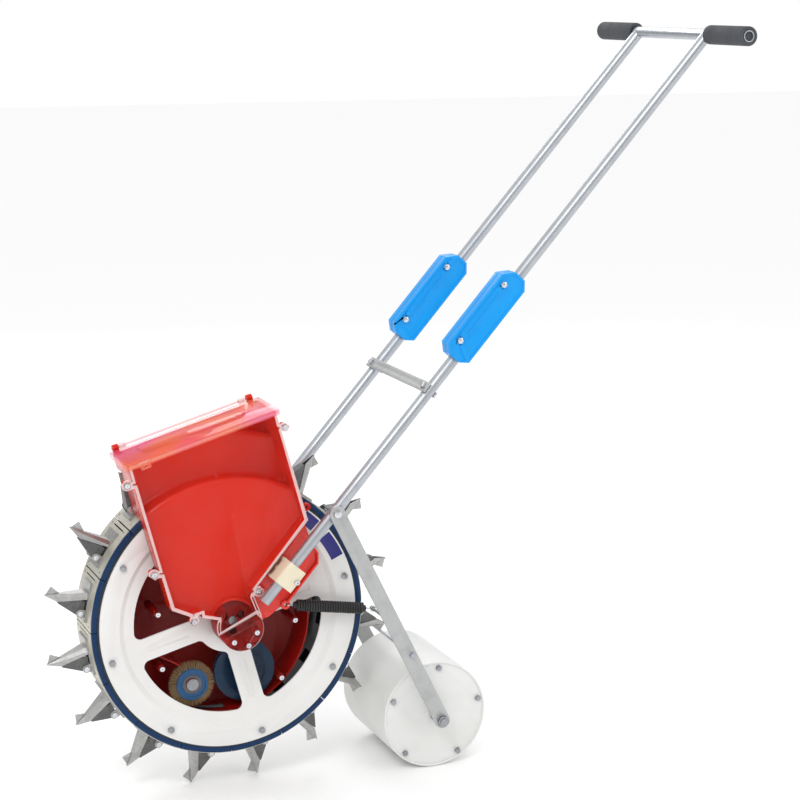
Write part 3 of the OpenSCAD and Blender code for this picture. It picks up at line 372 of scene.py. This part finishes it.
clear_cover = clear("clear cover", (238, 190, 186), alpha=0.005, rim=0.3, coat=0.0)
clear_lid = clear("clear pink lid", (246, 96, 140), alpha=0.32, rim=0.6, second=(250, 128, 84), coat=0.0)
clear_red = clear("clear dark cover", (96, 30, 26), alpha=0.02, rim=0.3, coat=0.0)
# Whiter and more opaque than the covers: a painted highlight for the narrow edge faces.
edge_painted_highlight = clear("clear edge painted highlight", (248, 222, 220), 0.1, 0.6, 0.85)

# %% Give every CAD node its finish
finishes = {
    "hopper_shell": red, "hub_neck": dark_red, "hopper_cover": clear_cover, "lid": clear_lid,
    "cover_screws": bright, "main_axle": turned, "metering_housing": dark_red,
    "metering_cover": clear_red, "handle_bracket_near": red_paint, "far_bracket": red_paint,
    "tube_clamps": ivory, "clamp_bolts": bright, "lower_tube_near": satin, "lower_tube_far": satin,
    "crossbar": flat_zinc, "frame_bolts": bright, "connector_near": blue, "connector_far": blue,
    "handle_top": satin, "grip_near": foam, "grip_far": foam, "lid_hinge_pin": clear_lid,
    "arm_pivot_bolts": bright, "disc_near": white, "disc_far": white, "rim_core": black,
    "rim_rings": navy, "tread_plates": tread_zinc, "bill_shells": zinc, "bill_springs": bright,
    "jaw_bolts": bright, "disc_bolts": turned, "ring_gear": black, "metering_wheel": teal,
    "metering_shaft": turned, "brush_wheel": bristle, "arm_near": flat_zinc, "arm_far": flat_zinc,
    "arm_cross_rod": satin, "roller_axle": turned, "roller_drum": roller_white,
    "roller_caps": roller_white, "roller_bolts": turned, "press_spring": sleeve,
}
for name, node in nodes.items():
    # Nodes without a listed finish, the bills' jaws, get the darker zinc with its painted shade.
    mat = finishes.get(name, dark_zinc_painted_shade)
    if not node.data.materials:
        node.data.materials.append(mat)
    for place in node.material_slots:
        place.material = mat
print("finished", len(nodes), "CAD nodes")

# %% [markdown]
# ## Soft edges on the hard parts
# A CAD solid has knife-sharp edges, but a moulded, pressed or cast part has a small radius on
# every edge, and that radius is what catches the light. A copy of each hard part is merged into
# one clean mesh, its flat triangles are joined back into faces, and a Bevel modifier rounds its
# edges. This is quicker and truer than modelling each part again.


# %% Rounded copies of CAD parts
BODY = {n: b for b, members in frame["record"]["behaviour"]["bodies"].items() for n in members}
SLOT = {p["node"]: p["material_slot"] for p in frame["record"]["subparts"]}


def activate(obj):
    deselect()
    obj.select_set(True)
    bpy.context.view_layer.objects.active = obj


def settle(obj, mat, body, slot, *replaced):
    """Applies a new piece's place, gives it its finish and ties it to its body."""
    activate(obj)
    bpy.ops.object.transform_apply(location=True, rotation=True, scale=True)
    obj.data.materials.clear()
    obj.data.materials.append(mat)
    bpy.ops.object.shade_smooth_by_angle(angle=math.radians(35))
    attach(obj, body)
    if replaced:
        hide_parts(*replaced)
    return obj


def from_axis(point, axis):
    """The distance from a line along Y."""
    return math.hypot(point.x - axis.x, point.z - axis.z)


def push_faces(distance):
    """Extrudes the selected faces outward, or inward when the distance is negative."""
    bpy.ops.mesh.extrude_region_shrink_fatten(TRANSFORM_OT_shrink_fatten={"value": distance})


def modifier(obj, kind, **values):
    activate(obj)
    mod = obj.modifiers.new(kind.lower(), kind)
    for key, value in values.items():
        setattr(mod, key, value)
    bpy.ops.object.modifier_apply(modifier=mod.name)


BACK_STEPS = (-62.5 * MM, -30.5 * MM, 1.5 * MM)
STEP_INNERMOST = 200 * MM
STEP_RADIUS = 7 * MM


def soften_steps(shell):
    """The arcs inside the hopper, where its back steps away from the wheel, get a wide radius."""
    inner_planes = [wheel_at.y + step for step in BACK_STEPS]
    bpy.ops.object.mode_set(mode="EDIT")
    bpy.ops.mesh.select_mode(type="EDGE")
    mesh = bmesh.from_edit_mesh(shell.data)
    for edge in mesh.edges:
        a, b = (v.co for v in edge.verts)
        ra, rb = (from_axis(p, wheel_at) for p in (a, b))
        flat = min(abs(a.y - y) for y in inner_planes) < 0.0003 and abs(a.y - b.y) < 0.0001
        edge.select_set(flat and ra > STEP_INNERMOST and abs(ra - rb) < 0.0004)
    count = sum(e.select for e in mesh.edges)
    bmesh.update_edit_mesh(shell.data)
    bpy.ops.mesh.bevel(offset=STEP_RADIUS, segments=5, affect="EDGES", clamp_overlap=True)
    bpy.ops.object.mode_set(mode="OBJECT")
    print("softened", count, "edges of the hopper's steps")


def open_faces(obj, chosen):
    """Opens a mesh for editing with only the faces of the chosen numbers selected."""
    bpy.ops.object.mode_set(mode="EDIT")
    bpy.ops.mesh.select_mode(type="FACE")
    mesh = bmesh.from_edit_mesh(obj.data)
    for face in mesh.faces:
        face.select_set(face.index in chosen)
    bmesh.update_edit_mesh(obj.data)


LIP_LINE = 1.8 * MM
LIP_WIDTH = 2.8 * MM
LIP_STEP = 0.8 * MM


def raise_lip(cover):
    """Sinks the middle of the clear cover's large front face, which leaves a lip round it."""
    front = max((f for f in cover.data.polygons if f.normal.y < -0.99), key=lambda f: f.area)
    open_faces(cover, {front.index})
    bpy.ops.mesh.inset(thickness=LIP_LINE, use_even_offset=False)
    bpy.ops.mesh.inset(thickness=LIP_WIDTH, use_even_offset=False)
    bpy.ops.mesh.inset(thickness=LIP_LINE, depth=-LIP_STEP, use_even_offset=False)
    bpy.ops.object.mode_set(mode="OBJECT")


CONNECTOR_BORDER = 4 * MM
CONNECTOR_RECESS = 1.2 * MM


def press_recesses(connector):
    """Each large flat side of a connector half has a long shallow recess."""
    sides = {f.index for f in connector.data.polygons if abs(f.normal.y) > 0.99 and f.area > 0.0008}
    open_faces(connector, sides)
    bpy.ops.mesh.inset(thickness=CONNECTOR_BORDER, use_individual=True)
    push_faces(-CONNECTOR_RECESS)
    bpy.ops.object.mode_set(mode="OBJECT")
    print("recessed", len(sides), "sides of a connector")


def rounded(node, width):
    """A copy of a CAD part with rounded edges, which stands in its place."""
    source = nodes[node]
    obj = bpy.data.objects.new(node + "_soft", source.data.copy())
    bpy.context.scene.collection.objects.link(obj)
    obj.hide_render = False
    activate(obj)
    bpy.ops.object.mode_set(mode="EDIT")
    bpy.ops.mesh.select_all(action="SELECT")
    bpy.ops.mesh.remove_doubles(threshold=0.000002)
    bpy.ops.mesh.dissolve_limited(angle_limit=math.radians(0.6))
    bpy.ops.object.mode_set(mode="OBJECT")
    if node == "hopper_shell":
        soften_steps(obj)
    if node == "hopper_cover":
        raise_lip(obj)
    if node.startswith("connector"):
        press_recesses(obj)
    modifier(obj, "BEVEL", width=width, segments=2, limit_method="ANGLE",
             angle_limit=math.radians(32), use_clamp_overlap=True, harden_normals=False)
    return settle(obj, finishes.get(node, dark_zinc_painted_shade), BODY[node], SLOT[node], node)


def second_finish(obj, mat, test):
    """Gives a second finish to the faces of a finished piece for which test(face) is true."""
    obj.data.materials.append(mat)
    for face in obj.data.polygons:
        if test(face):
            face.material_index = len(obj.data.materials) - 1


# The width of each part's rounded edge, in millimetres.
soft = {
    "hopper_shell": 1.0, "hopper_cover": 0.8, "lid": 1.5, "hub_neck": 0.8, "handle_bracket_near": 0.8,
    "far_bracket": 0.8, "tube_clamps": 1.4, "connector_near": 2.2, "connector_far": 2.2,
    "disc_near": 0.8, "disc_far": 0.8, "crossbar": 0.5, "arm_near": 0.6, "arm_far": 0.6,
    "roller_drum": 1.5, "roller_caps": 0.8, "metering_housing": 0.6, "metering_cover": 0.5,
    "metering_wheel": 0.7, "frame_bolts": 0.5, "clamp_bolts": 0.4, "arm_pivot_bolts": 0.5,
    "disc_bolts": 0.4, "roller_bolts": 0.5, "cover_screws": 0.35, "handle_top": 0.3,
    "lower_tube_near": 0.3, "lower_tube_far": 0.3, "rim_rings": 0.5, "main_axle": 0.5,
}
softened = {node: rounded(node, width * MM) for node, width in soft.items()}
print("rounded", len(soft), "parts")


# %% [markdown]
# ## A second finish on some faces
# Clear plastic looks white along its edges, because light is caught there. The narrow faces that
# the bevel has left on the lid and the cover are found by their width, and they are given a
# whiter colour than the large faces, a painted highlight. The bearing in the metering housing is bare steel.

# %% Second finishes
EDGE_LINE = 2.6 * MM
BEARING_R = 10.3 * MM


def longest_edge(mesh, face):
    ends = ((mesh.vertices[a].co, mesh.vertices[b].co) for a, b in face.edge_keys)
    return max((p - q).length for p, q in ends)


for node in ("lid", "hopper_cover"):
    clear_mesh = softened[node].data
    second_finish(softened[node], edge_painted_highlight, lambda f: f.area < EDGE_LINE * longest_edge(clear_mesh, f))
brush_at = Vector(joints["brush_spin"]["pos_m"])
second_finish(
    softened["metering_housing"], turned,
    lambda f: from_axis(f.center, brush_at) < BEARING_R and f.center.y < brush_at.y)

# %% [markdown]
# ## Foam grips
# Each grip is a foam sleeve pushed over the cross tube. It starts as a cylinder along the tube.
# The ends are inset and pushed in, so that the foam has a wall, and every edge is rounded. The
# foam's own pores come from the material.


# %% Grips
def along_y(low, high):
    """The middle, length and radius of a round part that lies along Y."""
    return (low + high) / 2, high.y - low.y, (high.z - low.z) / 2


def pick_faces(obj, test):
    """Selects the faces of the mesh in edit mode for which test(centre, normal) is true."""
    mesh = bmesh.from_edit_mesh(obj.data)
    for face in mesh.faces:
        face.select_set(test(face.calc_center_median(), face.normal))
    mesh.select_flush_mode()
    bmesh.update_edit_mesh(obj.data)


def cylinder_along_y(middle, length, radius):
    deselect()
    bpy.ops.mesh.primitive_cylinder_add(
        vertices=64, radius=radius, depth=length, location=middle, rotation=(math.pi / 2, 0, 0))


def grip(node):
    low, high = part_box(node)
    middle, length, radius = along_y(low, high)
    cylinder_along_y(middle, length, radius)
    obj = bpy.context.object
    obj.name = node + "_foam"
    bpy.ops.object.mode_set(mode="EDIT")
    bpy.ops.mesh.select_mode(type="FACE")
    pick_faces(obj, lambda at, n: abs(n.z) > 0.9)
    bpy.ops.mesh.inset(thickness=radius * 0.38)
    push_faces(-4 * MM)
    bpy.ops.object.mode_set(mode="OBJECT")
    modifier(obj, "BEVEL", width=2.8 * MM, segments=4, limit_method="ANGLE", angle_limit=math.radians(40))
    return settle(obj, foam, BODY[node], SLOT[node], node)


for node in ("grip_near", "grip_far"):
    print(grip(node).name, "made")

# %% [markdown]
# ## Coil springs
# A real spring is a wire wound round an axis. A small circle, the wire's section, is set beside
# the axis, and a Screw modifier winds it. Each bill has a short spring on its pivot bolt. A long
# black coil round a core, with a hook at one end and an eye at the other, pulls the press arm.


# %% Wind a coil
def coil(name, radius, wire, length, turns, steps=16, sides=6):
    """A coil along +X that starts at the origin. Its two cut ends are capped."""
    deselect()
    bpy.ops.mesh.primitive_circle_add(
        vertices=sides, radius=wire, location=(0, 0, radius), rotation=(math.pi / 2, 0, 0),
        fill_type="NOTHING")
    obj = bpy.context.object
    obj.name = name
    bpy.ops.object.transform_apply(location=True, rotation=True, scale=True)
    levels = int(steps * turns)
    modifier(obj, "SCREW", axis="X", angle=math.tau * turns, screw_offset=length, steps=levels,
             render_steps=levels, use_merge_vertices=True, use_smooth_shade=True)
    bpy.ops.object.mode_set(mode="EDIT")
    bpy.ops.mesh.select_all(action="SELECT")
    bpy.ops.mesh.fill_holes(sides=sides)
    bpy.ops.mesh.normals_make_consistent(inside=False)
    bpy.ops.object.mode_set(mode="OBJECT")
    return obj


# %% Bill springs
def wheel_turn(angle):
    """Turns by an angle round the wheel's axis, rearwards over the top."""
    return Matrix.Translation(wheel_at) @ Matrix.Rotation(-angle, 4, "Y") @ Matrix.Translation(-wheel_at)


BILL_COIL_R = 3.1 * MM
BILL_COIL_WIRE = 0.55 * MM
BILL_COIL_LENGTH = 12.8 * MM

jaw_hinges = sorted(n for n in joints if n.startswith("jaw_"))
jaw_pitch = math.tau / len(jaw_hinges)
first_pin = Vector(joints[jaw_hinges[0]]["pos_m"])
spring = coil("bill_coil_01", BILL_COIL_R, BILL_COIL_WIRE, BILL_COIL_LENGTH, 9, steps=14)
spring_start = first_pin - Vector((0, BILL_COIL_LENGTH / 2, 0))
spring.matrix_world = Matrix.Translation(spring_start) @ Matrix.Rotation(math.pi / 2, 4, "Z")
activate(spring)
bpy.ops.object.transform_apply(location=True, rotation=True, scale=True)
for k in range(1, len(jaw_hinges)):
    copy = bpy.data.objects.new("bill_coil_%02d" % (k + 1), spring.data.copy())
    bpy.context.scene.collection.objects.link(copy)
    copy.data.transform(wheel_turn(jaw_pitch * k))
    settle(copy, bright, "wheel", SLOT["bill_springs"])
settle(spring, bright, "wheel", SLOT["bill_springs"], "bill_springs")
print("wound", len(jaw_hinges), "bill springs")


# %% Press spring
def lay_along(obj, start, end):
    """Puts a piece that was made along +X from the origin on the line from start to end."""
    turn = (end - start).to_track_quat("X", "Z").to_matrix().to_4x4()
    obj.matrix_world = Matrix.Translation(start) @ turn
    activate(obj)
    bpy.ops.object.transform_apply(location=True, rotation=True, scale=True)


def wire_piece(name, points, radius):
    """A bent round wire through points, as a mesh."""
    data = bpy.data.curves.new(name, "CURVE")
    data.dimensions = "3D"
    data.bevel_depth = radius
    data.bevel_resolution = 3
    data.resolution_u = 8
    data.use_fill_caps = True
    line = data.splines.new("BEZIER")
    line.bezier_points.add(len(points) - 1)
    for knot, at in zip(line.bezier_points, points):
        knot.co = at
        knot.handle_left_type = knot.handle_right_type = "AUTO"
    obj = bpy.data.objects.new(name, data)
    bpy.context.scene.collection.objects.link(obj)
    activate(obj)
    bpy.ops.object.convert(target="MESH")
    return bpy.context.object


# The spring's two hooks, measured from the wheel's centre as the CAD places them.
SPRING_FROM = Vector((89, -72, 19)) * MM
SPRING_TO = Vector((243.5, -72, -5.9)) * MM
SPRING_WIRE = 2.1 * MM
HOOK_WIRE = 1.25 * MM
HOOK_LENGTH = 18 * MM
EYE_R = 4.1 * MM

spring_from = wheel_at + SPRING_FROM
spring_to = wheel_at + SPRING_TO
pull = (spring_to - spring_from).normalized()
reach = (spring_to - spring_from).length
core_length = reach - 2 * HOOK_LENGTH
winding = coil("press_spring_coil", 8 * MM, SPRING_WIRE, core_length - 4 * MM, 26, steps=20, sides=8)
lay_along(winding, spring_from + pull * (HOOK_LENGTH + 2 * MM), spring_to - pull * HOOK_LENGTH)
deselect()
bpy.ops.mesh.primitive_cylinder_add(
    vertices=24, radius=7.8 * MM, depth=core_length, rotation=(0, math.pi / 2, 0),
    location=(core_length / 2, 0, 0))
core = bpy.context.object
core.name = "press_spring_core"
bpy.ops.object.transform_apply(location=True, rotation=True, scale=True)
bpy.ops.object.mode_set(mode="EDIT")
bpy.ops.mesh.select_mode(type="FACE")
pick_faces(core, lambda at, n: abs(n.x) > 0.9)
bpy.ops.mesh.inset(thickness=2.2 * MM)
push_faces(4 * MM)
bpy.ops.object.mode_set(mode="OBJECT")
modifier(core, "BEVEL", width=MM, segments=2, limit_method="ANGLE", angle_limit=math.radians(35))
lay_along(core, spring_from + pull * HOOK_LENGTH, spring_to - pull * HOOK_LENGTH)
side = Vector((0, 1, 0))
rise = side.cross(pull).normalized()
# Each point of the hook is a distance along the pull and a distance sideways, in millimetres.
hook_bends = ((20, 0), (10, -2), (3.5, -4.6), (1.7, -3), (1.7, 3))
hook = [spring_from + (pull * along + side * across) * MM for along, across in hook_bends]
eye = [spring_to - pull * 20 * MM, spring_to - pull * 8 * MM]
for turn in range(20, 341, 40):
    angle = math.radians(turn)
    eye.append(spring_to + (rise * math.sin(angle) - pull * math.cos(angle)) * EYE_R)
hook_piece = wire_piece("press_spring_hook", hook, HOOK_WIRE)
eye_piece = wire_piece("press_spring_eye", eye, HOOK_WIRE)
press_spring = [winding, core, hook_piece, eye_piece]
for piece in press_spring:
    mat = sleeve if piece in (winding, core) else bright
    activate(piece)
    bpy.ops.object.transform_apply(location=True, rotation=True, scale=True)
    piece.data.materials.clear()
    piece.data.materials.append(mat)
    bpy.ops.object.shade_smooth_by_angle(angle=math.radians(50))
    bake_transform(piece)
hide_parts("press_spring")
print("press spring", round(reach, 4), "m between its hooks")

# %% [markdown]
# ## Label patches
# Two thin blank film patches are stuck on the near disc's flange. Each starts as one flat face
# that follows the flange's radius, and the Spin operator sweeps it round the wheel's axis.


# %% Label patches
PATCH_INNER = 194.5 * MM
PATCH_OUTER = 216.2 * MM
PATCH_THICK = 0.35 * MM

flange_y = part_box("disc_near")[0].y


def arc_patch(name, from_deg, to_deg):
    """A patch between two angles, counted from straight behind the axle towards the top."""
    deselect()
    bpy.ops.mesh.primitive_plane_add(size=1)
    obj = bpy.context.object
    obj.name = name
    obj.scale = (PATCH_OUTER - PATCH_INNER, PATCH_THICK, 1)
    bpy.ops.object.transform_apply(scale=True)
    middle = Vector(((PATCH_OUTER + PATCH_INNER) / 2, flange_y - PATCH_THICK / 2 - wheel_at.y, 0))
    obj.data.transform(Matrix.Translation(middle))
    obj.data.transform(Matrix.Rotation(-math.radians(from_deg), 4, "Y"))
    obj.data.transform(Matrix.Translation(wheel_at))
    bpy.ops.object.mode_set(mode="EDIT")
    bpy.ops.mesh.select_all(action="SELECT")
    bpy.ops.mesh.spin(
        steps=12, dupli=False, angle=math.radians(to_deg - from_deg), use_auto_merge=False,
        center=wheel_at, axis=(0, 1, 0))
    bpy.ops.mesh.select_all(action="SELECT")
    bpy.ops.mesh.remove_doubles(threshold=0.000001)
    bpy.ops.mesh.normals_make_consistent(inside=False)
    bpy.ops.object.mode_set(mode="OBJECT")
    return settle(obj, patch_blue, "wheel", SLOT["rim_rings"])


arc_patch("label_patch_1", 24.5, 37.0)
arc_patch("label_patch_2", 43.8, 51.5)

# %% [markdown]
# ## Brush
# A round brush wipes spare seed off the metering wheel. Its core is a short cylinder with a
# stepped face and a bore. Its bristles are thin tapered tufts, one modelled and then copied round
# the core in staggered rows, each a little different in length.

# %% Brush core
CORE_R = 26.8 * MM
BOSS_R = 16.1 * MM

brush_wide, brush_r = along_y(*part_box("brush_wheel"))[1:]
cylinder_along_y(brush_at, brush_wide, CORE_R)
brush_core = bpy.context.object
brush_core.name = "brush_core"
bpy.ops.object.mode_set(mode="EDIT")
bpy.ops.mesh.select_mode(type="FACE")
pick_faces(brush_core, lambda at, n: abs(n.z) > 0.9)
bpy.ops.mesh.inset(thickness=4 * MM)
push_faces(-2 * MM)
bpy.ops.mesh.inset(thickness=6.8 * MM)
push_faces(MM)
bpy.ops.mesh.inset(thickness=5.8 * MM)
bpy.ops.mesh.delete(type="FACE")
bpy.ops.mesh.select_mode(type="EDGE")
bpy.ops.mesh.select_all(action="DESELECT")
bpy.ops.mesh.select_non_manifold()
bpy.ops.mesh.bridge_edge_loops()
bpy.ops.object.mode_set(mode="OBJECT")
modifier(brush_core, "BEVEL", width=0.6 * MM, segments=2, limit_method="ANGLE", angle_limit=math.radians(40))
settle(brush_core, brush_blue, "brush", SLOT["brush_wheel"], "brush_wheel")
# The boss takes the darker zinc with its painted shade.
second_finish(brush_core, dark_zinc_painted_shade, lambda f: from_axis(f.center, brush_at) < BOSS_R)

# %% Bristles
TUFT_ROOT_R = 26 * MM
ROW_PITCH = 2.6 * MM
rows, around = 5, 46

random.seed(7)
deselect()
# The tuft is one metre long, and each copy is scaled to its own length.
bpy.ops.mesh.primitive_cone_add(
    vertices=6, radius1=1.1 * MM, radius2=0.7 * MM, depth=1.0, location=(0, 0, 0.5), end_fill_type="NGON")
tuft = bpy.context.object
bpy.ops.object.transform_apply(location=True, rotation=True, scale=True)
bpy.ops.object.mode_set(mode="EDIT")
bpy.ops.mesh.select_mode(type="FACE")
pick_faces(tuft, lambda at, n: at.z > 0.99)
bpy.ops.mesh.inset(thickness=0.3 * MM)
push_faces(10 * MM)
bpy.ops.object.mode_set(mode="OBJECT")
bristles = []
for row in range(rows):
    for k in range(around):
        turn = math.tau * (k + 0.5 * (row % 2)) / around + random.uniform(-0.03, 0.03)
        root = brush_at + Vector((0, (row - (rows - 1) / 2) * ROW_PITCH, 0))
        length = brush_r - TUFT_ROOT_R - 0.2 * MM - random.uniform(0.0002, 0.0012)
        stand = Matrix.Translation((0, 0, TUFT_ROOT_R)) @ Matrix.Diagonal((1, 1, length, 1))
        copy = bpy.data.objects.new("bristle", tuft.data.copy())
        copy.data.transform(Matrix.Translation(root) @ Matrix.Rotation(turn, 4, "Y") @ stand)
        bpy.context.scene.collection.objects.link(copy)
        bristles.append(copy)
bpy.data.objects.remove(tuft)
deselect()
for piece in bristles:
    piece.select_set(True)
bpy.context.view_layer.objects.active = bristles[0]
bpy.ops.object.join()
brush_hair = bpy.context.object
brush_hair.name = "brush_bristles"
settle(brush_hair, bristle, "brush", SLOT["brush_wheel"])
print("brush has", rows * around, "tufts")

# %% [markdown]
# ## Closing
# Last, the view layer is brought up to date.

# %% Update the view layer
bpy.context.view_layer.update()
